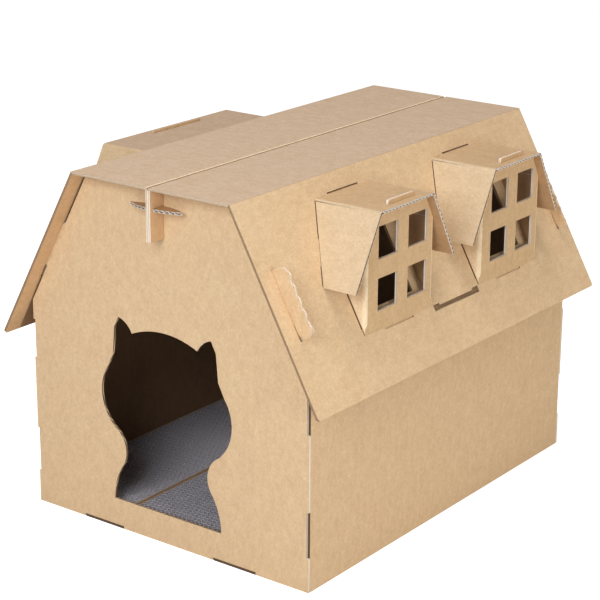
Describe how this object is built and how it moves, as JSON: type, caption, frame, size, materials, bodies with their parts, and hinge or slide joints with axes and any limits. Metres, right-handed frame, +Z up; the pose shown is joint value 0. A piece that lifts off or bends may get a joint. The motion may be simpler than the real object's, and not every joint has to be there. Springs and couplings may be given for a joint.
{
  "type": "cat condo",
  "caption": "Slotted corrugated cardboard cat house with a gambrel roof on swing-up slopes, dormer windows, a cat-shaped doorway and loose scratching pads.",
  "frame": {"origin": "middle of the footprint, on the surface the house stands on", "axes": "+X to the right as seen from the doorway, +Y from the doorway to the back, +Z up"},
  "size_m": [0.4566, 0.578, 0.424],
  "materials": {
    "wall_board": "matt kraft board",
    "roof_board": "matt kraft board",
    "hood_board": "matt kraft board",
    "pad_board": "open flutes on edge"
  },
  "bodies": {
    "house": {"floor_panel": "wall_board", "front_gable": "wall_board", "rear_gable": "wall_board", "left_wall": "wall_board", "right_wall": "wall_board", "left_roof_top": "roof_board", "right_roof_top": "roof_board"},
    "right_slope": {"right_roof_slope": "roof_board", "right_front_hood": "hood_board", "right_front_window": "roof_board", "right_rear_hood": "hood_board", "right_rear_window": "roof_board"},
    "left_slope": {"left_roof_slope": "roof_board", "left_hood": "hood_board", "left_window": "roof_board"},
    "front_key": {"front_ridge_key": "hood_board"},
    "rear_key": {"rear_ridge_key": "hood_board"},
    "left_pad": {"left_pad": "pad_board"},
    "middle_pad": {"middle_pad": "pad_board"},
    "right_pad": {"right_pad": "pad_board"}
  },
  "joints": [
    {"name": "right_slope_crease", "type": "hinge", "parent": "house", "child": "right_slope", "pos_m": [0.1115, 0, 0.424], "axis": [0, -1, 0], "range_deg": [0, 90]},
    {"name": "left_slope_crease", "type": "hinge", "parent": "house", "child": "left_slope", "pos_m": [-0.1115, 0, 0.424], "axis": [0, 1, 0], "range_deg": [0, 90]},
    {"name": "front_key_pull", "type": "slide", "parent": "house", "child": "front_key", "axis": [1, 0, 0], "range_m": [0, 0.045]},
    {"name": "rear_key_pull", "type": "slide", "parent": "house", "child": "rear_key", "axis": [1, 0, 0], "range_m": [0, 0.045]},
    {"name": "left_pad_lift", "type": "slide", "parent": "house", "child": "left_pad", "axis": [0, 0, 1], "range_m": [0, 0.12]},
    {"name": "middle_pad_lift", "type": "slide", "parent": "house", "child": "middle_pad", "axis": [0, 0, 1], "range_m": [0, 0.12]},
    {"name": "right_pad_lift", "type": "slide", "parent": "house", "child": "right_pad", "axis": [0, 0, 1], "range_m": [0, 0.12]}
  ]
}
